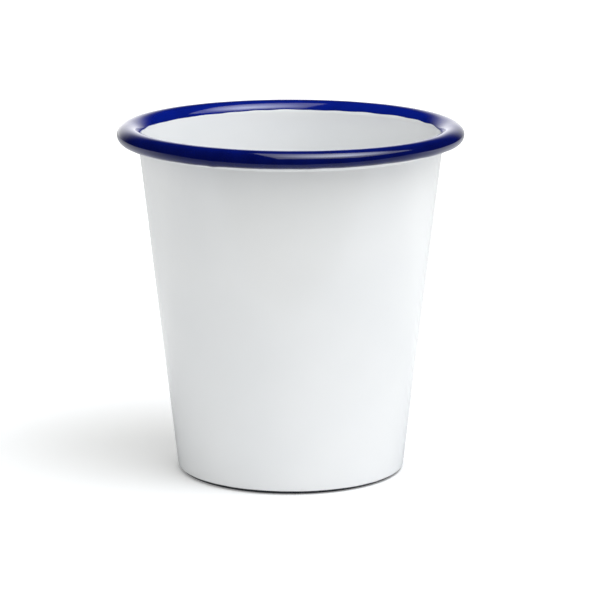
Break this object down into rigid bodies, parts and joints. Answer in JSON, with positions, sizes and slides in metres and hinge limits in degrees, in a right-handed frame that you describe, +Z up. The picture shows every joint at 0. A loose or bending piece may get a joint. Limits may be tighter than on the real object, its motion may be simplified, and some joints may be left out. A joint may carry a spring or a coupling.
{
  "type": "enamel tumbler",
  "caption": "Tapered handleless drinking tumbler of enamelled sheet steel, white inside and out, with a rolled rim in blue enamel and a recessed base.",
  "frame": {"origin": "centre of the ring the tumbler stands on, at table level", "axes": "+Z up along the axis of revolution; X and Y are any two horizontal directions at right angles, because the tumbler is round"},
  "size_m": [0.0886, 0.0886, 0.09],
  "materials": {
    "sheet_steel": "satin",
    "dark_ground_enamel": "satin",
    "white_enamel": "gloss",
    "blue_enamel": "gloss"
  },
  "bodies": {
    "root": {"steel_shell": "sheet_steel", "inner_ground_coat": "dark_ground_enamel", "outer_ground_coat": "dark_ground_enamel", "inner_cover_coat": "white_enamel", "outer_cover_coat": "white_enamel", "base_cover_coat": "white_enamel", "rim_band": "blue_enamel"}
  },
  "joints": []
}
